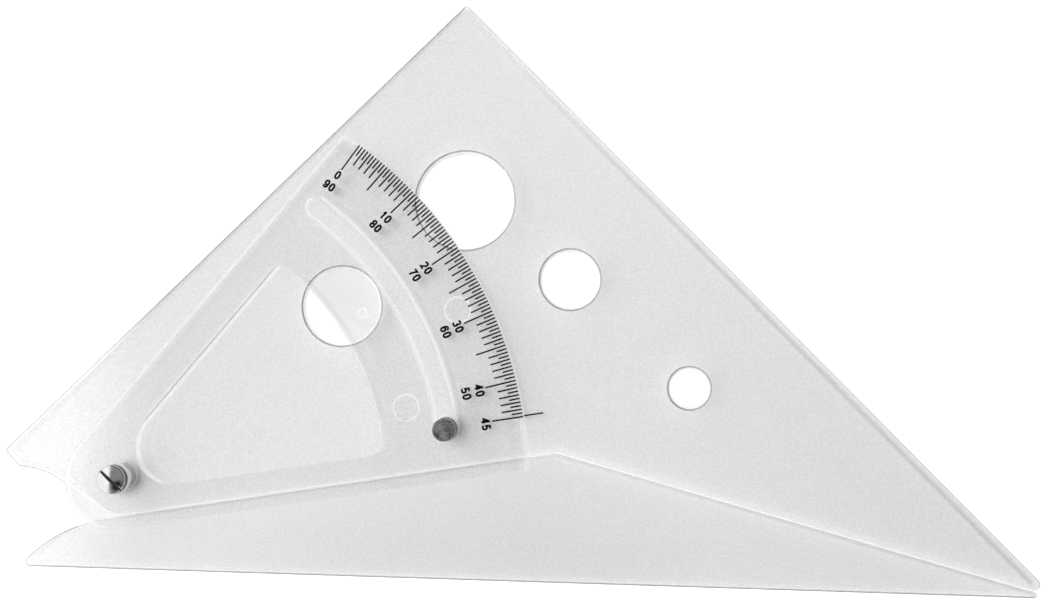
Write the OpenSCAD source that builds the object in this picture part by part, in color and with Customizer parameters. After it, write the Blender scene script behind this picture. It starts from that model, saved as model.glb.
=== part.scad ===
// Adjustable set square, in millimetres.
// A clear base blade carries a protractor sector. A clear triangle blade lies in the same plane
// as the base blade, passes under the sector, and turns about a screw in the sector's corner.
// A stud in the triangle rides in the sector's arc slot, and a slim knob on it locks the angle.
// Layout points are counted from the pivot, with X along the working edge and Y across it.
// Everything is then moved so that the origin is the middle of the closed set square's underside.

/* [Base blade] */
// Distance along the working edge from the pivot to the point where the right-hand edges meet
corner_reach = 232.2; // [215:0.1:300]
// Distance from the pivot down to the working edge
pivot_to_base = 23; // [20:0.1:28]
// Distance from the pivot to the seam between the two blades
pivot_to_seam = 9.95; // [8.5:0.05:11]
// Rise of the left part of the seam, in degrees
seam_angle = 9.6; // [8:0.1:11]
// How far the seam's ridge lies past the sector's outer edge, along the working edge
ridge_past = 6.8; // [4:0.1:15]
// Radius of the curved left end
blade_end_r = 35.5; // [33:0.1:38]
// Length of straight seam left of the pivot, before the end curves down
blade_end_start = 5.3; // [4:0.1:7]
// Radius of the left tip
blade_left_tip_r = 1.2; // [0.6:0.1:1.8]
// Radius of the thin right tip
blade_right_tip_r = 0.7; // [0.4:0.1:1.2]

/* [Triangle blade] */
// Distance from the pivot to the left working edge
pivot_to_left = 25.9; // [23:0.1:28]
// Angle between each sloping edge and the base edge when closed, in degrees
edge_angle = 45; // [44:0.5:46]
// Radius of the apex
apex_r = 1; // [0.5:0.1:3]
// Radius of the right tip
triangle_tip_r = 1.5; // [0.8:0.1:2.5]
// Distance from the pivot to the cut end of the tail, measured along the left edge
tail_reach = 17.2; // [16:0.1:18.5]
// Length of the straight neck between the heel and the hollow, which meets the seam when fully open
tail_neck = 10.2; // [9.5:0.1:11]
// Radius of the hollow under the tail
tail_hollow_r = 22.7; // [21:0.1:25]
// Radius of the tail's outer corner
tail_tip_r = 0.5; // [0.2:0.1:1]
// Width of the open seam between the two blades
seam_gap = 0.25; // [0.15:0.05:0.4]

/* [Finger holes] */
// Diameter of the hole below the apex
hole_large_d = 24.2; // [20:0.1:28]
// Diameter of the hole that lies under the sector when closed
hole_under_d = 19.2; // [16:0.1:22]
// Diameter of the middle hole
hole_middle_d = 14.2; // [11:0.1:17]
// Diameter of the hole nearest the right tip
hole_small_d = 9.4; // [7:0.1:12]
// Radius of the rounded rims
hole_rim_r = 0.9; // [0.4:0.1:1.1]

/* [Sheet] */
// Thickness of the base blade
blade_h = 3; // [2.6:0.1:4]
// Thickness of the protractor sector
sector_h = 2.5; // [2:0.1:3.5]
// Air between the triangle blade and the sector above it
run_gap = 0.15; // [0.1:0.01:0.25]
// Depth of the round moulding marks
mould_mark_depth = 0.15; // [0.08:0.01:0.25]
// Radius of the round moulding marks
mould_mark_r = 3.2; // [2:0.1:4]

/* [Protractor sector] */
// Radius of the sector's outer edge
sector_r = 104.7; // [98:0.1:112]
// Radius of the corner round the pivot, which also sets how far the flange reaches over the blade
sector_corner_r = 12.8; // [12:0.1:14]
// Direction of the sector's left edge, in degrees
sector_left_dir = 50.7; // [50:0.1:53]
// Radius of the two outer corners
sector_tip_r = 0.9; // [0.4:0.1:2]
// Distance from the slot's middle line in to the window's outer arc
window_inset = 16.7; // [12:0.1:25]
// Distance from the pivot out to the line of the window's left side
window_left = 3.5; // [2:0.1:5]
// Distance from the pivot out to the line of the window's lower side
window_low = 3.65; // [2:0.05:5]
// Radius of the window's corner by the pivot
window_corner_r = 9.5; // [8:0.1:11]
// Radius of the window's top corner
window_top_r = 1.8; // [1:0.1:4]
// Radius of the window's right corner
window_right_r = 3.4; // [1:0.1:5]

/* [Angle scale] */
// Angle from the closed reading to the open one, in degrees
scale_angle = 45; // [40:5:45]
// Direction of the index line and of the closed reading, in degrees
index_dir = 9.88; // [9:0.01:11]
// Number of divisions in one degree
divisions = 2; // [1:1:2]
// Gap between the sector's edge and the outer ends of the lines
line_margin = 0.2; // [0.1:0.05:0.6]
// Length of a half-degree line
short_line = 2.7; // [2:0.1:3.5]
// Length of a degree line
middle_line = 5.1; // [4:0.1:6]
// Length of a five-degree line
long_line = 7.8; // [6.5:0.1:9]
// Width of the printed lines
line_w = 0.38; // [0.2:0.01:0.45]
// Length of the index line that shows on the triangle blade, past the sector's edge
index_length = 4.8; // [3:0.1:8]
// Length of the index line that runs in under the sector's edge
index_tuck = 1; // [0.5:0.1:3]
// Thickness of the printed ink
ink_h = 0.05; // [0.03:0.01:0.1]

/* [Pivot] */
// Diameter of the screw's pan head
screw_head_d = 7.3; // [6.5:0.1:8]
// Height of the head's straight rim
screw_rim_h = 0.9; // [0.5:0.1:1.2]
// Radius of the head's rounded shoulder
screw_shoulder_r = 0.7; // [0.4:0.1:0.9]
// Rise of the head's top from the shoulder to the middle
screw_crown_h = 0.35; // [0.2:0.05:0.5]
// Width of the screwdriver slot
driver_slot_w = 0.8; // [0.5:0.05:1.1]
// Depth of the screwdriver slot
driver_slot_depth = 1; // [0.6:0.1:1.2]
// Direction of the screwdriver slot, in degrees
driver_slot_dir = -41; // [-90:1:90]
// Diameter of the screw's shank
screw_shank_d = 3; // [2.6:0.1:3.2]
// Diameter of the washer under the head
pivot_washer_d = 8.2; // [7.5:0.1:9]
// Thickness of the washers
washer_h = 0.4; // [0.3:0.05:0.6]
// Diameter of the threaded barrel that the triangle turns on
barrel_d = 4.8; // [4.4:0.1:5.2]
// Diameter of the barrel's flange
barrel_flange_d = 6.8; // [6.2:0.1:7.2]
// Thickness of the barrel's flange
barrel_flange_h = 0.7; // [0.5:0.1:0.9]
// Clearance of turning fits, on the radius
turn_gap = 0.05; // [0.03:0.01:0.08]

/* [Slot and lock] */
// Distance from the sector's outer edge in to the slot's middle line, where the stud stands
slot_inset = 19.5; // [15:0.1:23]
// Width of the arc slot
slot_w = 4.4; // [4.2:0.1:5.5]
// Spare length of the slot past the stud at each limit
slot_spare = 0.4; // [0.2:0.1:0.8]
// Clearance of the guide bush in the slot, on each side
slot_gap = 0.15; // [0.1:0.01:0.2]
// Diameter of the stud
stud_d = 3; // [2.6:0.1:3.2]
// Diameter of the stud's countersunk head
stud_head_d = 4.8; // [4.4:0.1:5.4]
// Diameter of the washer under the knob
lock_washer_d = 6.6; // [6:0.1:7.5]
// Diameter of the knob
knob_d = 5.6; // [5.4:0.1:6]
// Height of the knob
knob_h = 5; // [4:0.1:9]
// Thickness of the knob above its blind hole
knob_roof_h = 1; // [0.6:0.1:1.5]
// Height of the smooth band above and below the knob's flutes
knob_band_h = 0.9; // [0.5:0.1:1.2]
// Width of the bevel at each end of the knob
knob_bevel = 0.3; // [0.15:0.05:0.5]
// Number of flutes round the knob
flute_count = 24; // [12:1:28]
// Width of the round cut that makes a flute
flute_w = 0.5; // [0.3:0.05:0.55]
// Depth of the dished top of the knob
knob_dish = 0.15; // [0.05:0.05:0.3]

/* [Hidden] */
$fn = 96;

// Overrun of cutting shapes past the face they cut
cut = 1;
// Air under the countersunk head and the barrel's flange, so that they clear the paper
paper_gap = 0.15;
// How far outlines run past an arc that trims them, as a share of the arc's radius
overrun_share = 1.35;
// How much a rounding disc overlaps the edges that it runs into, so that they fuse
weld = 0.01;

// Places of the finger holes, as shares of corner_reach along X and Y from the pivot:
// under the sector, large, middle, small
hole_place_shares = [[0.2417, 0.1924], [0.3747, 0.3103], [0.4910, 0.2252], [0.6203, 0.1104]];
hole_diameters = [hole_under_d, hole_large_d, hole_middle_d, hole_small_d];
// Places of the moulding marks on the triangle blade, as shares of corner_reach
triangle_mark_shares = [[0.3384, 0.3988], [0.6950, 0.0869]];
// Places of the moulding marks on the sector: share of sector_r from the pivot, direction in degrees
// and share of mould_mark_r
sector_mark_shares = [[0.7283, 14.8, 1], [0.9234, 27.1, 1], [0.7201, 34.6, 0.65]];

triangle_h = blade_h - run_gap;
sector_top = blade_h + sector_h;
slot_r = sector_r - slot_inset;
window_r = slot_r - window_inset;

// Unit vector along a direction, and the one to its left
function along(a) = [cos(a), sin(a)];
function left_of(a) = [-sin(a), cos(a)];
// A line is its direction and its distance to the left of the pivot. Where two lines cross:
function cross_at(a1, d1, a2, d2) =
    let (n1 = left_of(a1), n2 = left_of(a2), k = n1.x * n2.y - n1.y * n2.x)
    [(d1 * n2.y - d2 * n1.y) / k, (n1.x * d2 - n2.x * d1) / k];
// Where a line leaves a circle about the pivot
function on_arc(a, d, r) = d * left_of(a) + sqrt(r * r - d * d) * along(a);
function heading(p) = atan2(p.y, p.x);
function toward(p, q) = (q - p) / norm(q - p);

// The edges as lines
base_d = -pivot_to_base;
left_dir = edge_angle;
right_dir = -edge_angle;
corner = [corner_reach, base_d];
right_d = corner * left_of(right_dir);
seam_d = -pivot_to_seam;
ridge = on_line_at(seam_angle, seam_d, sector_r + ridge_past);
falling_dir = heading(corner - ridge);
falling_d = ridge * left_of(falling_dir);
// The point of a line at a given X
function on_line_at(a, d, x) = [x, (d + x * sin(a)) / cos(a)];

// Triangle blade
heel_r = pivot_to_seam - seam_gap;
apex_c = cross_at(left_dir, pivot_to_left - apex_r, right_dir, right_d - apex_r);
tip_c = cross_at(right_dir, right_d - triangle_tip_r,
                 falling_dir, falling_d + seam_gap + triangle_tip_r);
tail_c = cross_at(left_dir, pivot_to_left - tail_tip_r, right_dir, -tail_reach + tail_tip_r);
neck_dir = seam_angle - scale_angle;
neck_end = -heel_r * left_of(neck_dir) - tail_neck * along(neck_dir);
hollow_c = neck_end - tail_hollow_r * left_of(neck_dir);
hollow_depth = -tail_reach - hollow_c * left_of(right_dir);
tail_end = hollow_c + hollow_depth * left_of(right_dir)
    - sqrt(pow(tail_hollow_r, 2) - pow(hollow_depth, 2)) * along(right_dir);
under_ridge = cross_at(seam_angle, seam_d + seam_gap, falling_dir, falling_d + seam_gap);

// Base blade
end_top = seam_d * left_of(seam_angle) - blade_end_start * along(seam_angle);
end_c = end_top - blade_end_r * left_of(seam_angle);
left_tip_c = [end_c.x - sqrt(pow(blade_end_r - blade_left_tip_r, 2)
                             - pow(end_c.y - base_d - blade_left_tip_r, 2)),
              base_d + blade_left_tip_r];
right_tip_c = cross_at(0, base_d + blade_right_tip_r, falling_dir, falling_d - blade_right_tip_r);

// Sector and window
sector_top_c = on_arc(sector_left_dir, sector_corner_r - sector_tip_r, sector_r - sector_tip_r);
sector_low_c = on_arc(seam_angle, sector_tip_r - sector_corner_r, sector_r - sector_tip_r);
window_corner_c = cross_at(sector_left_dir, window_left - window_corner_r,
                           seam_angle, window_corner_r - window_low);
window_top_c = on_arc(sector_left_dir, window_left - window_top_r, window_r - window_top_r);
window_right_c = on_arc(seam_angle, window_right_r - window_low, window_r - window_right_r);

// Lock
stud_place = slot_r * along(index_dir);
stud_r = stud_d / 2;
stud_hole_r = stud_r + turn_gap / 2;
sink_h = (stud_head_d - stud_d) / 2;
knob_base = sector_top + washer_h;
knob_top = knob_base + knob_h;
knob_bore_top = knob_top - knob_roof_h;

// How far the disc of the blade's left end runs on under the straight seam, in degrees
end_overlap_angle = 12;

// The closed set square's outer box, and the shift that centres it
low = [tail_c.x - tail_tip_r - weld, base_d];
high = [tip_c.x + triangle_tip_r + weld, apex_c.y + apex_r + weld];
function centred(p) = p - (low + high) / 2;

module at_origin() {
    translate(-(low + high) / 2) children();
}

// A round disc with its middle at p
module disc(p, r) {
    translate(p) circle(r);
}

// A disc that rounds a corner of radius r
module rounding(p, r) {
    disc(p, r + weld);
}

// A plate cut to an outline, from one height to another
module plate(from, to) {
    translate([0, 0, from]) linear_extrude(to - from) children();
}

// A round tube or, with no bore, a cylinder
module tube(from, to, r, bore = 0) {
    difference() {
        translate([0, 0, from]) cylinder(h = to - from, r = r);
        if (bore > 0) translate([0, 0, from - cut]) cylinder(h = to - from + 2 * cut, r = bore);
    }
}

// Outline of the base blade
module blade_outline() {
    tip_out = toward(end_c, left_tip_c);
    // The end's disc runs on under the straight seam to this direction
    past_top = along(heading(end_top - end_c) - end_overlap_angle);
    far = blade_end_r * overrun_share;
    intersection() {
        rounding(end_c, blade_end_r);
        polygon([
            left_tip_c,
            end_c + far * tip_out,
            end_c + far * past_top,
            end_c + (blade_end_r - blade_left_tip_r) * past_top
        ]);
    }
    polygon([
        [left_tip_c.x, base_d],
        [right_tip_c.x, base_d],
        right_tip_c,
        right_tip_c + blade_right_tip_r * left_of(falling_dir),
        ridge,
        end_top,
        left_tip_c
    ]);
    rounding(left_tip_c, blade_left_tip_r + weld);
    rounding(right_tip_c, blade_right_tip_r);
}

// Outline of the triangle blade
module triangle_outline() {
    difference() {
        polygon([
            apex_c + apex_r * left_of(left_dir),
            tail_c + tail_tip_r * left_of(left_dir),
            tail_c,
            tail_c - tail_tip_r * left_of(right_dir),
            tail_end,
            neck_end,
            -heel_r * left_of(neck_dir),
            -heel_r * left_of(seam_angle),
            under_ridge,
            tip_c - triangle_tip_r * left_of(falling_dir),
            tip_c,
            tip_c + triangle_tip_r * left_of(right_dir),
            apex_c + apex_r * left_of(right_dir),
            apex_c
        ]);
        disc(hollow_c, tail_hollow_r);
    }
    rounding([0, 0], heel_r);
    rounding(apex_c, apex_r);
    rounding(tip_c, triangle_tip_r);
    rounding(tail_c, tail_tip_r);
}

// Outline of the sector, a wedge round the pivot trimmed by its outer arc
module sector_outline() {
    intersection() {
        circle(sector_r);
        polygon([
            sector_corner_r * left_of(sector_left_dir),
            sector_top_c + sector_tip_r * left_of(sector_left_dir),
            sector_top_c,
            overrun_share * sector_r * along(heading(sector_top_c)),
            overrun_share * sector_r * along(heading(sector_low_c)),
            sector_low_c,
            sector_low_c - sector_tip_r * left_of(seam_angle),
            -sector_corner_r * left_of(seam_angle)
        ]);
    }
    rounding([0, 0], sector_corner_r);
    rounding(sector_top_c, sector_tip_r);
    rounding(sector_low_c, sector_tip_r);
}

// Outline of the window in the sector
module window_outline() {
    intersection() {
        circle(window_r);
        polygon([
            window_corner_c + window_corner_r * left_of(sector_left_dir),
            window_top_c + window_top_r * left_of(sector_left_dir),
            window_top_c,
            overrun_share * window_r * along(heading(window_top_c)),
            overrun_share * window_r * along(heading(window_right_c)),
            window_right_c,
            window_right_c - window_right_r * left_of(seam_angle),
            window_corner_c - window_corner_r * left_of(seam_angle),
            window_corner_c
        ]);
    }
    rounding(window_corner_c, window_corner_r);
    rounding(window_top_c, window_top_r);
    rounding(window_right_c, window_right_r);
}

// Outline of the arc slot, with a round end past each limit
module slot_outline() {
    far = overrun_share * sector_r;
    spare_angle = slot_spare / slot_r * 180 / PI;
    from = index_dir - spare_angle;
    to = index_dir + scale_angle + spare_angle;
    intersection() {
        difference() {
            circle(slot_r + slot_w / 2);
            circle(slot_r - slot_w / 2);
        }
        polygon([
            [0, 0],
            far * along(from),
            far * along((from + to) / 2),
            far * along(to)
        ]);
    }
    for (a = [from, to])
        rounding(slot_r * along(a), slot_w / 2);
}

// A through hole whose rims are rounded over on both faces of a plate of height h
module rimmed_hole(r, h) {
    translate([0, 0, -cut]) cylinder(h = h + 2 * cut, r = r);
    for (side = [0, 1])
        translate([0, 0, side * h]) mirror([0, 0, side])
            rotate_extrude() difference() {
                square([r + hole_rim_r, hole_rim_r]);
                translate([r + hole_rim_r, hole_rim_r]) circle(hole_rim_r);
            }
}

// A printed line along a direction, between two distances from the pivot
module ink_line(a, from, to, z) {
    rotate(a) translate([from, -line_w / 2, z]) cube([to - from, line_w, ink_h]);
}

// The lower blade: its straight edge guides the set square, its sloping edges face the triangle
module base_blade() {
    color([0.87, 0.88, 0.89, 0.5]) at_origin()
        plate(0, blade_h) blade_outline();
}

// The sector is bonded to the blade by the narrow flange below the seam
module protractor_sector() {
    color([0.90, 0.91, 0.92, 0.5]) at_origin() difference() {
        plate(blade_h, sector_top) sector_outline();
        plate(blade_h - cut, sector_top + cut) window_outline();
        plate(blade_h - cut, sector_top + cut) slot_outline();
        tube(blade_h - cut, sector_top + cut, screw_shank_d / 2 + turn_gap);
        for (m = sector_mark_shares)
            translate(m[0] * sector_r * along(m[1]))
                tube(blade_h - cut, blade_h + mould_mark_depth, m[2] * mould_mark_r);
    }
}

// Lines of the angle scale, printed on the sector's top
module scale_marks() {
    lines = scale_angle * divisions;
    color([0.05, 0.05, 0.06]) at_origin()
        for (k = [0 : lines])
            ink_line(index_dir + k / divisions,
                     sector_r - line_margin
                         - (k % (5 * divisions) == 0 ? long_line
                            : k % divisions == 0 ? middle_line : short_line),
                     sector_r - line_margin, sector_top);
}

// Profile of a pan head: a straight rim, a rounded shoulder and a slightly domed top
module pan_head_profile(r, rim_h, shoulder_r, crown_h) {
    flat_r = r - shoulder_r;
    top = rim_h + shoulder_r + crown_h;
    crown_r = (flat_r * flat_r + crown_h * crown_h) / (2 * crown_h);
    square([r, rim_h]);
    intersection() {
        square([r, rim_h + shoulder_r]);
        translate([flat_r, rim_h]) circle(shoulder_r + weld);
    }
    square([flat_r, rim_h + shoulder_r]);
    intersection() {
        square([flat_r, top]);
        translate([0, top - crown_r]) circle(crown_r);
    }
}

// Slotted pan head screw, which clamps the sector to the barrel
module pivot_screw() {
    head_r = screw_head_d / 2;
    head_z = sector_top + washer_h;
    head_top = head_z + screw_rim_h + screw_shoulder_r + screw_crown_h;
    color([0.78, 0.77, 0.74]) at_origin() {
        difference() {
            translate([0, 0, head_z]) rotate_extrude()
                pan_head_profile(head_r, screw_rim_h, screw_shoulder_r, screw_crown_h);
            rotate(driver_slot_dir)
                translate([-head_r - cut, -driver_slot_w / 2, head_top - driver_slot_depth])
                    cube([screw_head_d + 2 * cut, driver_slot_w, driver_slot_depth + cut]);
        }
        tube(paper_gap + barrel_flange_h, head_z, screw_shank_d / 2);
    }
}

// Pale washer between the screw's head and the sector
module pivot_washer() {
    color([0.93, 0.93, 0.92]) at_origin()
        tube(sector_top, sector_top + washer_h, pivot_washer_d / 2, screw_shank_d / 2 + turn_gap);
}

// Threaded barrel with a flange sunk in the triangle's underside: the triangle turns on it
module pivot_barrel() {
    color([0.72, 0.71, 0.68]) at_origin() difference() {
        union() {
            tube(paper_gap, blade_h, barrel_d / 2);
            tube(paper_gap, paper_gap + barrel_flange_h, barrel_flange_d / 2);
        }
        tube(paper_gap - cut, blade_h + cut, screw_shank_d / 2);
        translate([-barrel_flange_d / 2 - cut, -driver_slot_w / 2, 0])
            cube([barrel_flange_d + 2 * cut, driver_slot_w, paper_gap + barrel_flange_h / 2]);
    }
}

// The upper blade: a right-angled triangle with finger holes and a swept tail
module triangle_blade() {
    color([0.87, 0.88, 0.89, 0.5]) at_origin() difference() {
        plate(0, triangle_h) triangle_outline();
        for (i = [0 : len(hole_diameters) - 1])
            translate(corner_reach * hole_place_shares[i])
                rimmed_hole(hole_diameters[i] / 2, triangle_h);
        for (m = triangle_mark_shares)
            translate(corner_reach * m) tube(-cut, mould_mark_depth, mould_mark_r);
        // Pivot bore, with a counterbore for the barrel's flange
        tube(-cut, triangle_h + cut, barrel_d / 2 + turn_gap);
        tube(-cut, paper_gap + barrel_flange_h + 2 * turn_gap, barrel_flange_d / 2 + 2 * turn_gap);
        // Countersunk hole for the lock stud
        translate(stud_place) {
            tube(-cut, triangle_h + cut, stud_hole_r);
            tube(-cut, paper_gap, stud_head_d / 2);
            translate([0, 0, paper_gap])
                cylinder(h = sink_h, r1 = stud_head_d / 2, r2 = stud_r);
        }
    }
}

// Index line printed on the triangle blade, from just under the sector's edge outwards
module index_mark() {
    color([0.05, 0.05, 0.06]) at_origin()
        ink_line(index_dir, sector_r - index_tuck, sector_r + index_length, triangle_h);
}

// Countersunk stud that stands up through the triangle and the arc slot
module lock_stud() {
    color([0.72, 0.71, 0.68]) at_origin() translate(stud_place) {
        translate([0, 0, paper_gap]) cylinder(h = sink_h, r1 = stud_head_d / 2, r2 = stud_r);
        tube(paper_gap, knob_bore_top - turn_gap, stud_r);
    }
}

// Bush round the stud, which guides it along the slot
module guide_bush() {
    color([0.90, 0.90, 0.89]) at_origin() translate(stud_place)
        tube(triangle_h, sector_top - run_gap, slot_w / 2 - slot_gap, stud_hole_r);
}

// Washer that bridges the slot under the knob
module lock_washer() {
    color([0.93, 0.93, 0.92]) at_origin() translate(stud_place)
        tube(sector_top, sector_top + washer_h, lock_washer_d / 2, stud_r + turn_gap);
}

// Slim fluted knob with a blind threaded hole, turned down on the stud to lock the angle
module lock_knob() {
    r = knob_d / 2;
    color([0.22, 0.22, 0.23]) at_origin() translate(stud_place) difference() {
        union() {
            translate([0, 0, knob_base]) cylinder(h = knob_bevel, r1 = r - knob_bevel, r2 = r);
            tube(knob_base + knob_bevel, knob_top - knob_bevel, r);
            translate([0, 0, knob_top - knob_bevel])
                cylinder(h = knob_bevel, r1 = r, r2 = r - knob_bevel);
        }
        tube(knob_base - cut, knob_bore_top, stud_r + turn_gap);
        tube(knob_top - knob_dish, knob_top + cut, r - 2 * knob_bevel);
        for (k = [0 : flute_count - 1])
            rotate(k * 360 / flute_count) translate([r, 0, 0])
                tube(knob_base + knob_band_h, knob_top - knob_band_h, flute_w / 2);
    }
}

base_blade();
protractor_sector();
scale_marks();
pivot_screw();
pivot_washer();
pivot_barrel();
triangle_blade();
index_mark();
lock_stud();
guide_bush();
lock_washer();
lock_knob();
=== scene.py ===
# %% [markdown]
# # An adjustable set square, dressed for its picture
#
# This lesson takes a drawing instrument whose solids are already made, and gives it its looks: clear
# acrylic plates with polished edges, a printed angle scale, a nickel-plated pivot screw and a dark
# lock knob. The solids come in as a fixed frame, in metres, with the instrument lying flat on z = 0.
# Every piece that is made here sits in that same frame, so nothing has to be fitted afterwards.

# %% Load the frame and measure it
import math
from collections import namedtuple
import bmesh
import bpy
from mathutils import Matrix, Vector


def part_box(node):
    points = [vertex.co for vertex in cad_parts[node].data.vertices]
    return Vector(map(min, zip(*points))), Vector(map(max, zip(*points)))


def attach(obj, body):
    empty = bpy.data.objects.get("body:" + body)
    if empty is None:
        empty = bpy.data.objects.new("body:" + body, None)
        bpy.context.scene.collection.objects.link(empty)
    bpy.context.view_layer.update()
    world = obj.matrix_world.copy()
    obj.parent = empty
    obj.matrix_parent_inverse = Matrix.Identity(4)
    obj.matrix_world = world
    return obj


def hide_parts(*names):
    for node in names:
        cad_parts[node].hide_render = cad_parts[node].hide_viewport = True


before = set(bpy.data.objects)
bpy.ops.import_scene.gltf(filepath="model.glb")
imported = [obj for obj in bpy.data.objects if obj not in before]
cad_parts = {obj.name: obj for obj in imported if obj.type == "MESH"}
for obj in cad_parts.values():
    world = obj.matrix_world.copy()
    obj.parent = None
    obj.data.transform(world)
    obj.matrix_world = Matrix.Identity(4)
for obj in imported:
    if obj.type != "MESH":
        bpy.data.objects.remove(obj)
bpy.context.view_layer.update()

MM = 0.001
TINY = 0.001 * MM

for name in sorted(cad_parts):
    low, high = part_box(name)
    size = (high - low) / MM
    print(f"{name:18s} {size.x:7.2f} x {size.y:7.2f} x {size.z:5.2f} mm")

# %% [markdown]
# ## Where things are
#
# The pieces that are added here, such as the numerals, have to know where the pivot is and how high
# the sector's printed face lies. These come from the boxes of the solids themselves, so they stay
# right if the solids are made a little larger or smaller.


# %% Places that the added pieces need
def middle(node):
    low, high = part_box(node)
    return (low + high) / 2


pivot = middle("pivot_screw").xy
stud = middle("lock_knob").xy
sector_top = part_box("protractor_sector")[1].z
ink_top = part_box("scale_marks")[1].z
print("pivot at", [round(v / MM, 2) for v in pivot], "mm")
print("printed face at", round(sector_top / MM, 2), "mm")

# %% [markdown]
# ## The camera
#
# The photograph was taken from nearly straight above, from about 230 mm, which is why the walls of
# the plates open outwards towards the borders of the picture. A camera is placed by three things:
# where it stands, which way it looks and which way is up. Setting the matrix from these three
# directions avoids juggling Euler angles.

# %% Set the camera
PHOTO_WIDTH = 1050      # pixels
FOCAL_LENGTH = 900      # pixels
SENSOR = 36             # mm
NEAREST = 0.01          # m, nothing closer than this is drawn


def set_camera(place, forward, upward, lens):
    back = -Vector(forward).normalized()
    right = Vector(upward).cross(back).normalized()
    above = back.cross(right)
    data = bpy.data.cameras.new("photo_camera")
    data.sensor_width = SENSOR
    data.lens = lens
    data.clip_start = NEAREST
    camera = bpy.data.objects.new("photo_camera", data)
    turn = Matrix((right, above, back)).transposed()
    camera.matrix_world = Matrix.Translation(place) @ turn.to_4x4()
    bpy.context.scene.collection.objects.link(camera)
    bpy.context.scene.camera = camera
    return camera


camera = set_camera(
    place=Vector((15.328, -15.508, 229.074)) * MM,
    forward=(-0.05121, 0.05381, -0.99724),
    upward=(-0.01603, 0.99837, 0.05470),
    lens=SENSOR * FOCAL_LENGTH / PHOTO_WIDTH,
)
print("camera at", [round(v / MM, 1) for v in camera.location], "mm")
print("lens", round(camera.data.lens, 2), "mm")

# %% [markdown]
# ## Shader maths as plain expressions
#
# A material is a graph of nodes, and arithmetic on it soon needs dozens of Math nodes. The small
# class below wraps a socket, so that `1 - mask * 0.5` in Python adds the two Math nodes by itself.
# Every other node comes from one method that takes the node's type, its settings and its inputs.


# %% A socket that understands arithmetic
class Socket:
    def __init__(self, shader, output):
        self.shader, self.output = shader, output

    def math(self, operation, *others):
        return self.shader.node("ShaderNodeMath", {"operation": operation}, [self, *others])

    def __add__(self, other): return self.math("ADD", other)
    def __radd__(self, other): return self.math("ADD", other)
    def __mul__(self, other): return self.math("MULTIPLY", other)
    def __rmul__(self, other): return self.math("MULTIPLY", other)
    def __sub__(self, other): return self.math("SUBTRACT", other)

    def __rsub__(self, other):
        return self.shader.node("ShaderNodeMath", {"operation": "SUBTRACT"}, [other, self])

    def rise(self, start, end):
        """A smooth step from 0 at start to 1 at end; start may be the larger of the two."""
        return self.shader.node(
            "ShaderNodeMapRange", {"interpolation_type": "SMOOTHSTEP"},
            {"Value": self, "From Min": start, "From Max": end},
        )

    def peak(self, centre, half):
        """1 at the centre, and smoothly down to 0 at the distance half on either side."""
        return self.rise(centre - half, centre) * self.rise(centre + half, centre)


# %% A node tree with one method for every node
def grey(tone):
    return (tone, tone, tone, 1)


class Shader:
    def __init__(self, tree):
        self.tree = tree
        tree.nodes.clear()

    def node(self, kind, settings=None, inputs=(), out=0):
        made = self.tree.nodes.new(kind)
        for key, value in (settings or {}).items():
            setattr(made, key, value)
        pairs = inputs.items() if isinstance(inputs, dict) else enumerate(inputs)
        for key, value in pairs:
            socket = made.inputs[key]
            if isinstance(value, Socket):
                self.tree.links.new(value.output, socket)
            else:
                socket.default_value = value
        return Socket(self, made.outputs[out])

    def parts(self, vector):
        split = self.node("ShaderNodeSeparateXYZ", None, [vector])
        return [Socket(self, output) for output in split.output.node.outputs]

    def light_path(self, *names):
        path = self.node("ShaderNodeLightPath").output.node.outputs
        return [Socket(self, path[name]) for name in names]

    def vector_math(self, operation, first, second, out=1):
        return self.node("ShaderNodeVectorMath", {"operation": operation}, [first, second], out)

    def dot(self, vector, direction):
        return self.vector_math("DOT_PRODUCT", vector, direction)

    def distance(self, point, place):
        return self.vector_math("DISTANCE", point, place)

    def millimetres(self):
        coords = self.node("ShaderNodeTexCoord", out=3)
        return self.vector_math("MULTIPLY", coords, Vector((1, 1, 1)) / MM, out=0)

    def own_normal(self):
        """The piece's own normal, split into x, y and z."""
        return self.parts(self.node("ShaderNodeTexCoord", out=1))

    def noise(self, point, scale, detail, roughness=0.5):
        return self.node("ShaderNodeTexNoise", None, {
            "Vector": point, "Scale": scale, "Detail": detail, "Roughness": roughness,
        })

    def mix_colour(self, factor, first, second):
        sockets = {"Factor": factor, 6: first, 7: second}
        return self.node("ShaderNodeMix", {"data_type": "RGBA"}, sockets, out=2)

    def principled(self, inputs):
        return self.node("ShaderNodeBsdfPrincipled", None, inputs)

    def clear(self):
        return self.node("ShaderNodeBsdfTransparent", None, {"Color": grey(1)})

    def blend(self, share, first, second):
        return self.node("ShaderNodeMixShader", None, [share, first, second])

    def finish(self, surface, kind="ShaderNodeOutputMaterial"):
        target = self.tree.nodes.new(kind)
        self.tree.links.new(surface.output, target.inputs["Surface"])


def new_material(name):
    material = bpy.data.materials.new(name)
    material.use_nodes = True
    return material, Shader(material.node_tree)


print("shader helpers ready")

# %% [markdown]
# ## The studio
#
# The instrument lies on a white ground under one wide soft light at the left. The polished screw and
# the plates mirror what stands around them, so the world is drawn as a studio: a bright panel at the
# left, pale walls low down, and a dim room above with a grey ceiling and one dark spot. The camera
# itself sees white there.

# %% World: a bright panel at the left of a dim room
ROOM, CEILING, LOW_WALLS, PANEL = 0.12, 0.32, 0.65, 1.68     # brightness of each, 1 is white
DARK_SPOT = Vector((-0.1, -0.42, 0.9))

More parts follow.
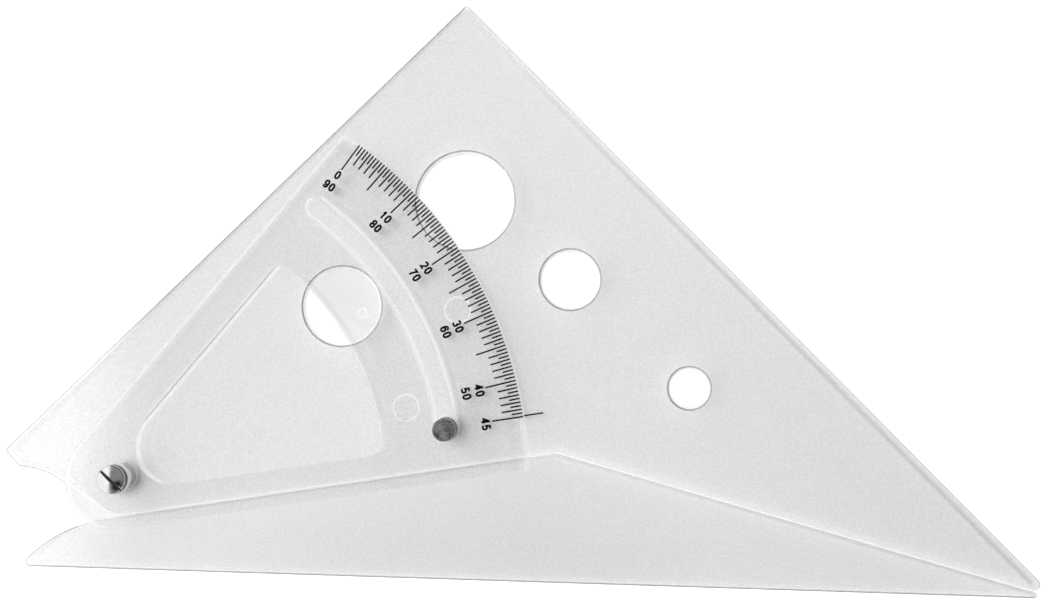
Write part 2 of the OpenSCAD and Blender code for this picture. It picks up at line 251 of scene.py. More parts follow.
world = bpy.data.worlds.new("studio")
bpy.context.scene.world = world
world.use_nodes = True
sky = Shader(world.node_tree)
direction = sky.node("ShaderNodeTexCoord")
east, _, height = sky.parts(direction)
panel = east.rise(-0.42, -0.52) * height.rise(0.0, 0.15)
ceiling = height.rise(0.6, 0.85)
low_walls = height.rise(0.45, 0.25)
dark_spot = sky.distance(direction, DARK_SPOT).rise(0.36, 0.2)
studio = (ROOM + CEILING * ceiling + LOW_WALLS * low_walls) * (1 - dark_spot) + PANEL * panel
seen, = sky.light_path("Is Camera Ray")
brightness = seen + (1 - seen) * studio
background = sky.node("ShaderNodeBackground", None, {"Color": grey(1), "Strength": brightness})
sky.finish(background, "ShaderNodeOutputWorld")
print("world drawn")

# %% Lamp
lamp_data = bpy.data.lights.new("window_light", "AREA")
lamp_data.shape = "DISK"
lamp_data.size = 0.34
lamp_data.energy = 2.14
lamp = bpy.data.objects.new("window_light", lamp_data)
lamp.location = (-0.15, 0.1, 0.75)
lamp.rotation_euler = (-Vector(lamp.location)).to_track_quat("-Z", "Y").to_euler()
lamp.visible_glossy = False
bpy.context.scene.collection.objects.link(lamp)
print("lamp", round(lamp.location.length, 2), "m from the instrument")

# %% [markdown]
# ## The ground
#
# Where the camera sees the ground directly, it is white. Seen through the plastic, it shows a pale grey
# of its own, as it does under a real sheet of acrylic, with a painted shade that makes it a little
# darker towards the right, away from the lamp.
# The Transparent Depth of a ray counts the clear faces that it has passed, and so tells the two
# apart. The ground glows a little, more so far away, where the lamp hardly reaches.

# %% Ground
GROUND_HALF, GROUND_DROP = 1.5, 0.02 * MM
GLOW_NEAR, GLOW_FAR = 0.18, 0.5

sheet = bmesh.new()
bmesh.ops.create_grid(sheet, x_segments=1, y_segments=1, size=GROUND_HALF)
bmesh.ops.translate(sheet, verts=sheet.verts, vec=(0, 0, -GROUND_DROP))
ground_mesh = bpy.data.meshes.new("ground")
sheet.to_mesh(ground_mesh)
sheet.free()
ground = bpy.data.objects.new("ground", ground_mesh)
bpy.context.scene.collection.objects.link(ground)

paper, shade = new_material("ground_paper")
is_camera, depth = shade.light_path("Is Camera Ray", "Transparent Depth")
direct = is_camera * (1 - depth.rise(0.2, 0.8))
place = shade.node("ShaderNodeTexCoord", out=3)
east, north, _ = shade.parts(place)
far_away = shade.distance(place, Vector()).rise(0.25, 0.9)
# painted shade: the ground under the plastic darkens towards the right, as the lamp's light falls off
falloff_shade = (east * 0.85 - north * 0.5).rise(-0.03, 0.15)
through_plastic = shade.mix_colour(falloff_shade, grey(0.86), (0.78, 0.78, 0.775, 1))
glow = direct * (GLOW_NEAR + GLOW_FAR * far_away)
shade.finish(shade.principled({
    "Base Color": shade.mix_colour(direct, through_plastic, grey(1)),
    "Roughness": 0.9,
    "Specular IOR Level": 0.0,
    "Emission Color": shade.mix_colour(glow, grey(0), grey(1)),
    "Emission Strength": 1.0,
}))
ground_mesh.materials.append(paper)
print("ground laid,", GROUND_HALF * 2, "m wide")

# %% [markdown]
# ## Copies of the solids
#
# A solid comes in with every facet's corners apart. Before a copy can be bevelled or smoothed, its
# doubled corners are merged. Each finished copy rides on the same body as its solid and takes its
# place.


# %% Copy a solid, add a piece
def merged_copy(node):
    mesh = bmesh.new()
    mesh.from_mesh(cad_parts[node].data)
    bmesh.ops.remove_doubles(mesh, verts=mesh.verts, dist=TINY)
    return mesh


def add_piece(name, mesh, materials, body):
    data = bpy.data.meshes.new(name)
    mesh.to_mesh(data)
    mesh.free()
    for material in materials:
        data.materials.append(material)
    piece = bpy.data.objects.new(name, data)
    bpy.context.scene.collection.objects.link(piece)
    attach(piece, body)
    return piece


trial = merged_copy("lock_knob")
apart = len(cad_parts["lock_knob"].data.vertices)
print("the knob has", apart, "corners,", len(trial.verts), "once they are merged")
trial.free()

# %% [markdown]
# ## What light does near an edge
#
# Cast acrylic lets nearly all light through. What the eye sees of it is a very faint grey, a
# mirror-like gloss and, above all, its edges. Light that enters through a wall is bent and piles up
# in some bands beside the wall and is missing in others. Real glass shading would need thousands of
# samples to show that, so here the bands are drawn: every long straight wall of a plate is found in
# its mesh, and the distance to it decides how light or dark the face is there.
#
# A recipe is a list of bands. Each band has its middle and half width, in millimetres from the wall,
# and its strength, where a negative one is a dark band. The last two numbers say between which
# places from left to right, in millimetres, the band grows to its full strength.

# %% Recipes of the bands, by the direction that a wall faces, in degrees
ALL_ALONG = (-200, -190)        # left of every plate, so the band is at full strength everywhere

blade_bands = {
    -90: [(0.15, 0.45, -0.6, *ALL_ALONG), (0.9, 0.6, 0.3, *ALL_ALONG)],
    100: [(0.1, 0.9, -0.1, -110, -80)],
    76: [(0.2, 1.1, -0.16, -10, 0), (0.2, 1.1, -0.1, 0, 110)],
}
triangle_bands = {
    135: [(0.2, 1.3, -0.52, -105, -88)],
    45: [(1.75, 1.0, -0.28, -30, 60), (0.8, 0.5, 0.12, -30, 60)],
    -80: [(0.1, 1.2, 0.55, -110, -80)],
    -104: [(0.9, 1.2, 0.18, -10, 20)],
}
sector_bands = {
    141: [(2.1, 1.2, -0.06, -115, -95), (0.6, 0.6, 0.1, -115, -95)],
    -39: [(0.15, 0.35, -0.8, *ALL_ALONG), (0.8, 0.5, 0.35, *ALL_ALONG)],
    100: [(1.1, 1.5, -0.05, -100, -80)],
    -80: [(0.3, 0.9, 0.06, -100, -80)],
}
print("bands for", len(blade_bands) + len(triangle_bands) + len(sector_bands), "walls")

# %% Find the long walls and draw their bands
LONG = 50           # mm, a wall longer than this gets bands
UPRIGHT = 0.02      # the most that an upright wall's normal rises or falls
SAME_WAY = 8        # degrees that a wall may turn away from its recipe's direction
SOFT_END = 1        # mm over which a band fades at the ends of its wall

LongWall = namedtuple("LongWall", "facing normal along depth first last")


def between(first, second):
    """The angle between two directions in degrees."""
    return abs((first - second + 180) % 360 - 180)


def long_walls(mesh):
    walls = []
    for f in mesh.faces:
        if abs(f.normal.z) > UPRIGHT:
            continue
        along = Vector((-f.normal.y, f.normal.x, 0))
        steps = [v.co.dot(along) / MM for v in f.verts]
        if max(steps) - min(steps) > LONG:
            facing = math.degrees(math.atan2(f.normal.y, f.normal.x))
            depth = f.verts[0].co.dot(f.normal) / MM
            walls.append(LongWall(facing, f.normal.copy(), along, depth, min(steps), max(steps)))
    return walls


def inward_from(shader, point, wall):
    return wall.depth - shader.dot(point, wall.normal)


def wall_bands(shader, point, walls, recipes):
    light, dark = [], []
    east = shader.parts(point)[0]
    for wall in walls:
        recipe = min(recipes, key=lambda facing: between(facing, wall.facing))
        if between(recipe, wall.facing) > SAME_WAY:
            continue
        inward = inward_from(shader, point, wall)
        place = shader.dot(point, wall.along)
        beside = place.rise(wall.first - SOFT_END, wall.first + SOFT_END)
        beside = beside * place.rise(wall.last + SOFT_END, wall.last - SOFT_END)
        for centre, half, strength, start, full in recipes[recipe]:
            band = inward.peak(centre, half) * beside * east.rise(start, full)
            (light if strength > 0 else dark).append(band * abs(strength))
    return light, dark


# %% [markdown]
# ## Rings, slot and scratch of the sector
#
# The sector's curved edges all run round the pivot, so their bands of painted light and shade follow
# the distance from it. The round marks of the mould's ejector pins are sunk a little, and a painted
# highlight shows each as a faint bright ring. They are found in the mesh, as the small flat floors just
# above a plate's underside. One fine scratch and a speck of dust come from the instrument's years of
# use.


# %% Rings at the mould's marks
MARK_DEPTHS = (0.1, 0.2)        # mm, the least and the most that a mark is sunk
# the rings at the mould marks are painted highlights
FAINT_MARK_HIGHLIGHT, CLEAR_MARK_HIGHLIGHT = 0.06, 0.6      # strength of the rings on the blades and on the sector


def marks_of(mesh):
    """The centre and radius of every mould mark, in millimetres."""
    bottom = min(v.co.z for v in mesh.verts)
    least, most = MARK_DEPTHS
    found = []
    for f in mesh.faces:
        above = (f.calc_center_median().z - bottom) / MM
        if f.normal.z < -0.99 and least < above < most:
            centre = sum((v.co for v in f.verts), Vector()) / len(f.verts)
            found.append((centre / MM, (f.verts[0].co - centre).length / MM))
    return found


# Painted highlight: a faint bright ring round each mould mark, a bright spot at its middle and glints
# inside it.
def mark_highlights(shader, point, marks, strength):
    light = []
    cloud = shader.noise(point, 0.9, 3.0).rise(0.2, 0.55)
    inner_glints = shader.noise(point, 2.4, 1.0).rise(0.58, 0.7)
    for centre, radius in marks:
        away = shader.distance(point, centre)
        ring = away.peak(radius * 1.25, 0.4) * cloud
        spot = away.peak(0.0, 0.5)
        inner = away.rise(radius * 1.2, radius) * inner_glints
        light.append((ring + 0.6 * spot + 0.4 * inner) * strength)
    return light


# %% Places of the bands round the pivot, in millimetres
WINDOW_TO_SLOT = 16.7           # from the window's arc to the middle of the slot

bush_low, bush_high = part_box("guide_bush")
slot_middle = (stud - pivot).length / MM
slot_half = (bush_high.x - bush_low.x) / 2 / MM
slot_inner, slot_outer = slot_middle - slot_half, slot_middle + slot_half
window_arc = slot_middle - WINDOW_TO_SLOT
sector_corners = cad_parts["protractor_sector"].data.vertices
reach = max((v.co.xy - pivot).length for v in sector_corners) / MM
print("slot from", round(slot_inner, 2), "to", round(slot_outer, 2), "mm")
print("outer edge at", round(reach, 2), "mm")

# distance from the pivot, half width and strength of each painted band, light where the strength is
# positive and shade where it is negative, as in the recipes above; the edge highlight is painted along
# the outer arc
slot_rings = [(slot_inner, 1.6, 0.6), (slot_outer + 0.7, 1.0, 0.5), (slot_outer + 2.1, 1.0, -0.08)]
window_rings = [(window_arc + 1.25, 1.0, -0.07)]
edge_rings = [(reach - 3.2, 1.8, -0.05)]
edge_highlight, edge_highlight_strength = (reach - 2.2, reach - 0.1), 0.4


# %% Bands round the pivot
# Painted light and shade in bands round the pivot, beside the slot, the window and the outer arc.
def pivot_bands(shader, point, from_low, from_left):
    """from_low, from_left: distances from the sector's two straight edges"""
    along_slot = from_low.rise(11.5, 13.5) * from_left.rise(5, 7)
    along_window = from_low.rise(17, 20) * from_left.rise(16, 18)
    flat = shader.vector_math("MULTIPLY", point, Vector((1, 1, 0)), out=0)
    away = shader.distance(flat, Vector((*pivot, 0)) / MM)
    light, dark = [away.rise(*edge_highlight) * edge_highlight_strength], []
    for rings, where in ((slot_rings, along_slot), (window_rings, along_window), (edge_rings, 1)):
        for centre, half, strength in rings:
            ring = away.peak(centre, half) * where
            (light if strength > 0 else dark).append(ring * abs(strength))
    return light, dark


# %% A scratch
def scratch(shader, point, start, end, half):
    start, end = Vector((*start, 0)), Vector((*end, 0))
    along = (end - start).normalized()
    aside = Vector((-along.y, along.x, 0))
    place = shader.dot(point, along)
    first, last = start.dot(along), end.dot(along)
    inside = place.rise(first - SOFT_END, first + SOFT_END)
    inside = inside * place.rise(last + SOFT_END, last - SOFT_END)
    return shader.dot(point, aside).peak(start.dot(aside), half) * inside


# %% [markdown]
# ## Three recipes of acrylic
#
# The faces are a thin sheet: a Transparent shader for what shows through, a grain of haze, the
# bands, and a Glossy shader whose share is small seen straight on and rises towards a grazing view.
# The rise is built from the Facing value, because a Fresnel node would turn the underside into a
# full mirror where the ray leaves the sheet at a slant. Only camera rays meet the haze and the
# gloss, so a face casts no shadow.
#
# The walls are painted white and glow a little, a painted light for the light that leaves through them.
# The rims, where face and wall meet, draw the outline in painted light and shade that follows the way
# each rim faces, and they glow a little too: they are dark at the outer edges of the blades, and nearly
# white where an edge of the sector faces right. Only walls and rims cast a shadow, and it is weak,
# apart from the shadow of the sector's walls.

# %% Acrylic faces
GLOSS, GRAZING_GLOSS = 0.04, 0.8        # share of the light that a face mirrors, and its rise


def acrylic_face(name, mirror, paint=None, grain=0.09):
    """mirror: strength of the gloss; paint: draws the bands; grain: strength of the haze"""
    material, mix = new_material(name)
    point = mix.millimetres()
    live, = mix.light_path("Is Camera Ray")
    speck = mix.noise(point, 2.6, 1.0).rise(0.4, 0.6)
    cloud = mix.noise(point, 0.06, 3.0)
    haze = grain * (0.8 * speck + 0.3 * cloud)
    light, dark = paint(mix, point) if paint else ([], [])
    # the grey takes the haze, the dust speck and the painted shade of the dark bands
    haze_dust_and_shade = mix.principled({"Base Color": grey(0.2), "Roughness": 0.4})
    sheet_look = mix.blend(sum(dark, haze) * live, mix.clear(), haze_dust_and_shade)
    if light:
        # the white takes the painted light of the bright bands and the mould marks' painted highlights,
        # and the pale scratch
        whitening = mix.principled({"Base Color": grey(1), "Roughness": 0.4})
        sheet_look = mix.blend(sum(light) * live, sheet_look, whitening)
    # at a Blend of 0.5, Facing is 1 minus the cosine of the angle to the view
    facing = mix.node("ShaderNodeLayerWeight", None, {"Blend": 0.5}, out=1)
    share = (GLOSS + GRAZING_GLOSS * facing.math("POWER", 5.0)) * mirror * live
    shine = mix.node("ShaderNodeBsdfGlossy", None, {"Color": grey(1), "Roughness": 0.05})
    mix.finish(mix.blend(share, sheet_look, shine))
    return material


# %% Acrylic walls and rims
# the white of the walls and of the fillets' steep parts: a painted light
PAINTED_EDGE_LIGHT = grey(0.95)


def by_side(mix, left, level, right):
    """One number for edges that face left, one for up or down in the picture, one for right."""
    side = mix.own_normal()[0]
    to_left, to_right = side.rise(-0.05, -0.6), side.rise(0.05, 0.6)
    return level + (left - level) * to_left + (right - level) * to_right


def edge_material(name, amounts, tone, glow, shadow):
    """amounts: how solid an edge is that faces left, up or down in the picture, and right;
    tone: makes its colour; shadow: how much of its shadow it casts"""
    material, mix = new_material(name)
    is_shadow, = mix.light_path("Is Shadow Ray")
    streak = mix.noise(mix.millimetres(), 0.3, 2.0)
    colour = tone(mix)
    body = mix.principled({
        "Base Color": colour, "Roughness": 0.3, "Specular IOR Level": 0.2,
        "Emission Color": colour, "Emission Strength": glow,
    })
    share = by_side(mix, *amounts) * (0.75 + 0.5 * streak) * (1 - (1 - shadow) * is_shadow)
    mix.finish(mix.blend(share, mix.clear(), body))
    return material


# A wall is painted white and glows, a painted light for the light that leaves through it.
def wall_material(name, amounts, shadow):
    return edge_material(name, amounts, lambda mix: PAINTED_EDGE_LIGHT, glow=0.45, shadow=shadow)


# A rim is painted lighter or darker by the way it faces, and glows a little: painted light and shade.
def rim_material(name, amounts, tones, fillet=False):
    """tones: of a rim that faces left and of one that faces right"""
    def tone(mix):
        side, _, up = mix.own_normal()
        colour = mix.mix_colour(side.rise(-0.3, 0.3), grey(tones[0]), grey(tones[1]))
        return mix.mix_colour(up.rise(0.8, 0.94), PAINTED_EDGE_LIGHT, colour) if fillet else colour

    return edge_material(name, amounts, tone, glow=0.1, shadow=0.3)


# %% [markdown]
# ## Plates with broken edges
#
# No sheet has a perfectly sharp edge: after sawing and routing it is scraped and flame polished, and
# the narrow rim that this leaves is what draws the outline in the photograph. A copy of each plate is
# merged, its flat faces are joined to single polygons, and bmesh bevels the edges between face and
# wall. Rims that run along the seam between the two blades get a material of their own.

# %% Copy and merge a plate
TOP, UNDER, WALL, RIM, FILLET, SEAM_RIM = range(6)      # places in a plate's list of materials
RIM_WIDTH = 0.18 * MM
LEAST_WALL = 0.3 * MM           # a lower wall keeps its sharp edge
PIVOT_END = 11 * MM             # the seam starts this far left of the pivot
FLAT, STEEP = 0.999, 0.05       # a normal rises more than FLAT on a face, less than STEEP on a wall


def tall(face):
    heights = [v.co.z for v in face.verts]
    return max(heights) - min(heights)


def flat_copy(node):
    mesh = merged_copy(node)
    bmesh.ops.dissolve_limit(
        mesh, angle_limit=math.radians(0.5), verts=mesh.verts, edges=mesh.edges, delimit={"NORMAL"}
    )
    return mesh


# %% Bevel a plate and give each face its material
def outer_edges(mesh):
    """The edges between the upright walls and the flat faces."""
    walls = [f for f in mesh.faces if abs(f.normal.z) < STEEP and tall(f) > LEAST_WALL]
    return list({
        e for f in walls for e in f.edges
        if e.calc_face_angle(0) > math.radians(60) and any(abs(g.normal.z) > 0.99 for g in e.link_faces)
    })


def polished_plate(name, node, mesh, body, materials, seam_side=0):
    """seam_side: 1 or -1 where the plate's seam lies up or down in the picture"""
    for f in mesh.faces:
        f.material_index = FILLET if STEEP < abs(f.normal.z) < FLAT else TOP
    bmesh.ops.bevel(
        mesh, geom=outer_edges(mesh), offset=RIM_WIDTH, segments=2, profile=0.5, affect="EDGES",
        clamp_overlap=False, material=-1,
    )
    for f in mesh.faces:
        up = f.normal.z
        f.smooth = abs(up) <= FLAT
        if up > FLAT:
            f.material_index = TOP
        elif up < -STEEP:
            f.material_index = UNDER
        elif up < STEEP:
            f.material_index = WALL
        elif f.material_index != FILLET:
            beside_seam = f.calc_center_median().x > pivot.x - PIVOT_END
            f.material_index = SEAM_RIM if beside_seam and f.normal.y * seam_side > 0.25 else RIM
    count = [sum(1 for f in mesh.faces if f.material_index == i) for i in range(len(materials))]
    piece = add_piece(name, mesh, materials, body)
    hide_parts(node)
    print(name, "top, under, walls, rims, fillets, seam rims:", count)
    return piece


# %% The base blade and the triangle blade
blade_under = acrylic_face("acrylic_blade_under", 1.9, grain=0.01)
blade_wall = wall_material("acrylic_blade_wall", (0.15, 0.3, 0.4), 0.3)
blade_rim = rim_material("acrylic_blade_rim", (1.0, 0.95, 0.7), (0.05, 0.2))
hole_rim = rim_material("acrylic_hole_rim", (0.5, 0.65, 0.85), (0.3, 0.1), fillet=True)
# the seam's rims: a painted shade on the base blade's side and a painted light on the triangle's
seam_rim_painted_shade = rim_material("acrylic_dark_seam_rim", (0.3, 0.3, 0.3), (0.4, 0.4))
seam_rim_painted_light = rim_material("acrylic_light_seam_rim", (0.2, 0.4, 0.2), (0.45, 1.0))


def paint_plate(mesh, recipes):
    walls, marks = long_walls(mesh), marks_of(mesh)

    def paint(shader, point):
        light, dark = wall_bands(shader, point, walls, recipes)
        return light + mark_highlights(shader, point, marks, FAINT_MARK_HIGHLIGHT), dark

    print(len(walls), "long walls,", len(marks), "mould marks")
    return paint


shared = [blade_under, blade_wall, blade_rim, hole_rim]
mesh = flat_copy("base_blade")
blade_top = acrylic_face("acrylic_blade_top", 1.5, paint_plate(mesh, blade_bands))
polished_plate("base_blade_polished", "base_blade", mesh, "base",
               [blade_top, *shared, seam_rim_painted_shade], seam_side=1)

mesh = flat_copy("triangle_blade")
triangle_top = acrylic_face("acrylic_triangle_top", 1.4, paint_plate(mesh, triangle_bands))
polished_plate("triangle_polished", "triangle_blade", mesh, "triangle",
               [triangle_top, *shared, seam_rim_painted_light], seam_side=-1)

# %% The sector
LOW_EDGE, LEFT_EDGE = -80, 141                          # the directions that these edges face
SCRATCH_START, SCRATCH_END = (-40.7, -6.7), (-33.2, -19.8)      # mm
dust = Vector((-25.6, -33.3, sector_top / MM))

mesh = flat_copy("protractor_sector")
sector_walls, sector_marks = long_walls(mesh), marks_of(mesh)


def inward_from_edge(shader, point, facing):
    edge = min(sector_walls, key=lambda wall: between(wall.facing, facing))
    return inward_from(shader, point, edge)


def paint_sector(shader, point):
    light, dark = wall_bands(shader, point, sector_walls, sector_bands)
    from_low = inward_from_edge(shader, point, LOW_EDGE)
    from_left = inward_from_edge(shader, point, LEFT_EDGE)
    more_light, more_dark = pivot_bands(shader, point, from_low, from_left)
    light += more_light + mark_highlights(shader, point, sector_marks, CLEAR_MARK_HIGHLIGHT)
    light.append(scratch(shader, point, SCRATCH_START, SCRATCH_END, 0.2) * 0.4)
    speck = shader.distance(point, dust).rise(0.3, 0.12)
    return light, dark + more_dark + [speck * 0.9]


sector_top_face = acrylic_face("acrylic_sector_top", 1.0, paint_sector, grain=0.03)
sector_under = acrylic_face("acrylic_sector_under", 1.0, grain=0.01)
sector_wall = wall_material("acrylic_sector_wall", (0.22, 0.06, 0.4), 0.9)
sector_rim = rim_material("acrylic_sector_rim", (0.35, 0.06, 0.6), (0.3, 0.95))
polished_plate("sector_polished", "protractor_sector", mesh, "base",
               [sector_top_face, sector_under, sector_wall, sector_rim, sector_rim])

# %% [markdown]
# ## Printed ink
#
# The scale is silk-screened in black on the sector's top face. Real ink isn't one flat black: it is
# a little thinner here and there. A fine noise moves the colour between two near blacks.

# %% Ink for the lines and the index
ink, mix = new_material("screen_ink")
grain = mix.noise(mix.millimetres(), 4.0, 2.0)
tint = mix.mix_colour(grain, grey(0.001), (0.008, 0.008, 0.009, 1))
mix.finish(mix.principled({"Base Color": tint, "Roughness": 0.75, "Specular IOR Level": 0.05}))
for node in ("scale_marks", "index_mark"):
    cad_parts[node].data.materials.clear()
    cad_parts[node].data.materials.append(ink)
print("ink on the lines")

# %% [markdown]
# ## Numerals drawn with strokes
#
# Two rows of numerals run along the scale. The outer row reads 45 at the index line while the
# instrument is closed and 0 when it is fully open, and the inner row reads what is left to 90.
# Engravers and sign writers build a numeral from strokes of one width, and so do these cells: each
# digit is a few paths of points in a box that is 0.6 wide and 1 high. A path becomes a ribbon with
# mitred corners.

# %% The paths of the ten digits
DIGIT_WIDE = 0.6
SQUARENESS = 0.86       # 1 gives an oval, less makes it squarer
BOW_STEP = 15           # degrees between the points of a bow


def bow(x, y, wide, high, first, last):
    """Points on an oval about (x, y), from one angle to another in degrees."""
    count = max(4, int(abs(last - first) / BOW_STEP))
    points = []
    for i in range(count + 1):
        angle = math.radians(first + (last - first) * i / count)
        c, s = math.cos(angle), math.sin(angle)
        points.append((
            x + wide * math.copysign(abs(c) ** SQUARENESS, c),
            y + high * math.copysign(abs(s) ** SQUARENESS, s),
        ))
    return points


nine = [bow(0.3, 0.655, 0.2, 0.26, 0, 360), bow(0.27, 0.5, 0.23, 0.415, 22, -152)]
digits = {
    "0": [bow(0.3, 0.5, 0.212, 0.415, 0, 360)],
    "1": [[(0.13, 0.7), (0.27, 0.75), (0.35, 0.93)], [(0.35, 1), (0.35, 0)]],
    "2": [bow(0.3, 0.68, 0.2, 0.235, 168, -20) + [(0.11, 0.085), (0.52, 0.085)]],
    "3": [bow(0.29, 0.7, 0.185, 0.215, 165, -90), bow(0.29, 0.3, 0.212, 0.215, 90, -165)],
    "4": [[(0.4, 0.93), (0.075, 0.31), (0.57, 0.31)], [(0.4, 1), (0.4, 0)]],
    "5": [[(0.5, 0.915), (0.17, 0.915), (0.115, 0.49)] + bow(0.29, 0.32, 0.212, 0.235, 135, -160)],
    "6": [[(DIGIT_WIDE - x, 1 - y) for x, y in path] for path in nine],
    "7": [[(0.08, 0.915), (0.51, 0.915), (0.4, 0.7), (0.27, 0.36), (0.22, 0)]],
    "8": [bow(0.3, 0.71, 0.182, 0.205, 0, 360), bow(0.3, 0.295, 0.212, 0.21, 0, 360)],
    "9": nine,
}
print("paths for", len(digits), "digits")

# %% A ribbon along a path
MITRE_LIMIT = 0.5       # keeps the corner of a sharp turn from shooting out


def ribbon(mesh, path, width, place):
    closed = (Vector(path[0]) - Vector(path[-1])).length < 1e-6
    points = [Vector(p) for p in (path[:-1] if closed else path)]
    pairs = []
    for i, p in enumerate(points):
        before = p - points[i - 1] if closed or i > 0 else points[1] - p
        after = points[(i + 1) % len(points)] - p if closed or i < len(points) - 1 else before
        before, after = before.normalized(), after.normalized()
        turn = (before + after).normalized()
        spread = width / 2 / max(MITRE_LIMIT, turn.dot(after))
        across = Vector((-turn.y, turn.x)) * spread
        ends = [Vector((*(p + side * across), 0)) for side in (1, -1)]
        pairs.append([mesh.verts.new(place @ end) for end in ends])
    for i in range(len(pairs) if closed else len(pairs) - 1):
        (a, b), (c, d) = pairs[i], pairs[(i + 1) % len(pairs)]
        mesh.faces.new((a, b, d, c))


# %% Print the numerals
DIGIT_HIGH = 2.2 * MM
DIGIT_STEP, STROKE = 0.74, 0.235        # shares of a digit's height
OUTER_ROW, INNER_ROW = 95.1 * MM, 91.7 * MM
CLOSED_READING = 45                     # degrees, at the index line of the closed instrument

# by reading: the label, and how many degrees it stands beside its line
outer_labels = {
    0: ("0", -0.02), 10: ("10", 0.09), 20: ("20", 0.07), 30: ("30", -0.05), 40: ("40", -0.18),
    45: ("45", -0.29),
}
inner_labels = {
    0: ("90", 0.09), 10: ("80", 0.15), 20: ("70", 0.14), 30: ("60", -0.04), 40: ("50", -0.18),
}
to_index = middle("index_mark").xy - pivot
index_heading = math.atan2(to_index.y, to_index.x)
numerals = bmesh.new()
for radius, labels in ((OUTER_ROW, outer_labels), (INNER_ROW, inner_labels)):
    for reading, (label, nudge) in labels.items():
        heading = index_heading + math.radians(CLOSED_READING - reading + nudge)
        out = Vector((math.cos(heading), math.sin(heading), 0))
        spot = Matrix.Translation(Vector((*pivot, sector_top)) + radius * out)
        spot = spot @ Matrix.Rotation(heading - math.pi / 2, 4, "Z") @ Matrix.Scale(DIGIT_HIGH, 4)
        for i, digit in enumerate(label):
            shift = (i - (len(label) - 1) / 2) * DIGIT_STEP - DIGIT_WIDE / 2
            for path in digits[digit]:
                ribbon(numerals, path, STROKE, spot @ Matrix.Translation((shift, -0.5, 0)))
grown = bmesh.ops.extrude_face_region(numerals, geom=list(numerals.faces))
raised = [v for v in grown["geom"] if isinstance(v, bmesh.types.BMVert)]
bmesh.ops.translate(numerals, verts=raised, vec=(0, 0, ink_top - sector_top))
bmesh.ops.recalc_face_normals(numerals, faces=numerals.faces)
printed = add_piece("scale_numerals", numerals, [ink], "base")
print("numerals printed,", len(printed.data.polygons), "faces")

# %% [markdown]
# ## Metal
#
# The screw is turned brass with a polished nickel plate. Polished metal shows hardly any colour of its
# own: it mirrors the studio. So its shading must be smooth, and that needs a merged copy whose faces
# are smooth inside each surface and sharp only at the real corners. The sides get their own rougher
# material, whose much darker colour is a painted shade. The barrel and the stud stand in the plates'
# holes; their nickel is drawn pale and matt, a painted reflection of the white ground round them.

# %% Smooth copies of the metal and nylon pieces
SIDEWAYS = 0.3          # a normal that rises less than this belongs to a piece's side


def smooth_piece(name, node, body, materials, corner=35, clearance=0):
    """materials: one, or the top's and the side's; corner: the least angle that stays sharp;
    clearance: how far the top is lowered to stay clear of what turns on it"""
    mesh = merged_copy(node)
    bmesh.ops.dissolve_degenerate(mesh, dist=TINY, edges=mesh.edges)
    top = max(v.co.z for v in mesh.verts)
    for v in mesh.verts:
        if v.co.z > top - TINY:
            v.co.z -= clearance
    for f in mesh.faces:
        f.smooth = True
        f.material_index = 1 if len(materials) > 1 and abs(f.normal.z) < SIDEWAYS else 0
    for e in mesh.edges:
        e.smooth = e.calc_face_angle(0) < math.radians(corner)
    piece = add_piece(name, mesh, materials, body)
    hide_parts(node)
    print(name, len(piece.data.polygons), "faces")
    return piece


def metal(name, low, high, gloss):
    material, mix = new_material(name)
    wear = mix.noise(mix.millimetres(), 0.9, 4.0)
    tint = mix.mix_colour(wear, low, high)
    mix.finish(mix.principled({
        "Base Color": tint, "Metallic": 1.0, "Roughness": gloss + 0.08 * wear,
    }))
    return material


# %% The screw, the barrel and the stud
nickel = metal("polished_nickel", grey(0.41), grey(0.5), 0.09)
# the head's side: rougher, and much darker, a painted shade
side_nickel_painted_shade = metal("side_nickel_painted_shade", grey(0.1), (0.22, 0.22, 0.21, 1), 0.35)
smooth_piece("pivot_screw_plated", "pivot_screw", "base", [nickel, side_nickel_painted_shade])

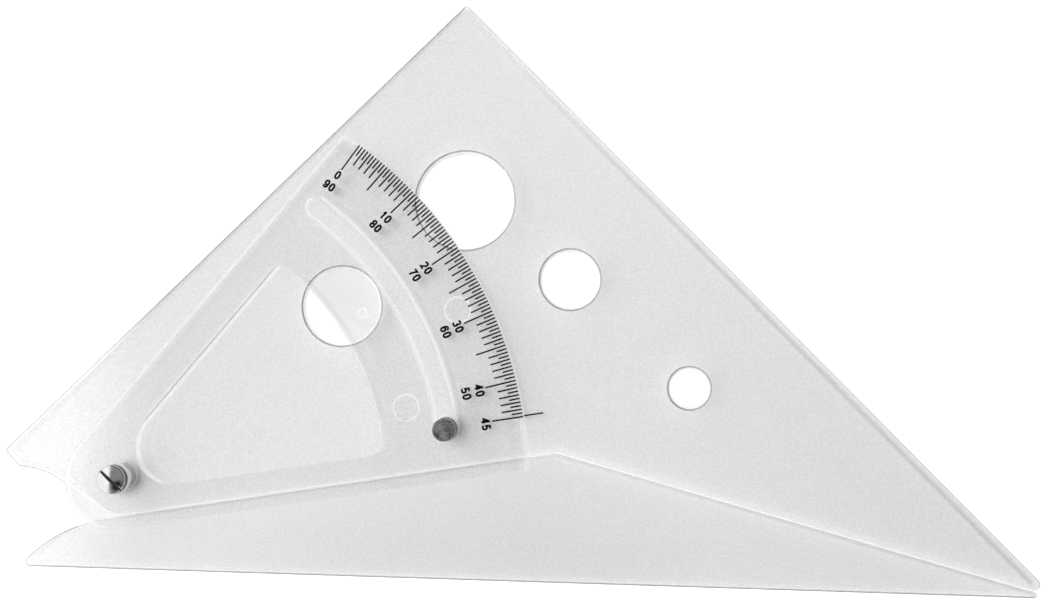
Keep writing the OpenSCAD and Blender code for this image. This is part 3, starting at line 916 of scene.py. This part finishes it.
# pale and matt: a painted reflection of the white ground round the holes
nickel_painted_reflection, mix = new_material("nickel_painted_reflection")
cloud = mix.noise(mix.millimetres(), 1.1, 3.0)
pale = mix.mix_colour(cloud, (0.76, 0.76, 0.75, 1), (0.84, 0.84, 0.83, 1))
mix.finish(mix.principled({
    "Base Color": pale, "Metallic": 0.2, "Roughness": 0.6 + 0.1 * cloud,
}))
smooth_piece("pivot_barrel_plated", "pivot_barrel", "base", [nickel_painted_reflection])
smooth_piece("lock_stud_plated", "lock_stud", "triangle", [nickel_painted_reflection])

# %% Nylon washers and bush
nylon, mix = new_material("natural_nylon")
whitening = mix.noise(mix.millimetres(), 1.2, 2.0)
milky = mix.mix_colour(whitening, (0.86, 0.86, 0.85, 1), (0.95, 0.95, 0.94, 1))
mix.finish(mix.principled({"Base Color": milky, "Roughness": 0.4}))
smooth_piece("pivot_washer_nylon", "pivot_washer", "base", [nylon])
smooth_piece("lock_washer_nylon", "lock_washer", "triangle", [nylon], clearance=0.01 * MM)
smooth_piece("guide_bush_nylon", "guide_bush", "triangle", [nylon])

# %% [markdown]
# ## The lock knob
#
# The slim knob is metal with a matt dark finish, speckled on its top by handling. Its fluted side is
# drawn in a brighter metal, a painted sheen of the bright studio round it.

# %% Dark knob
dark_finish, mix = new_material("dark_knob_finish")
point = mix.millimetres()
speckle = mix.noise(point, 2.4, 5.0, roughness=0.75)
blotch = mix.noise(point, 0.6, 2.0)
pattern = (speckle * 0.65 + blotch * 0.35).rise(0.36, 0.64)
tint = mix.mix_colour(pattern, (0.03, 0.03, 0.032, 1), (0.26, 0.26, 0.265, 1))
mix.finish(mix.principled({"Base Color": tint, "Roughness": 0.5, "Metallic": 0.2}))
# the fluted side in a brighter metal: a painted sheen
knob_side_sheen = metal("knob_side_painted_sheen", grey(0.25), (0.55, 0.55, 0.54, 1), 0.3)
smooth_piece("lock_knob_dark", "lock_knob", "knob", [dark_finish, knob_side_sheen], corner=25)

# %% [markdown]
# ## The view transform
#

# %% Standard view transform
bpy.context.scene.view_settings.view_transform = "Standard"
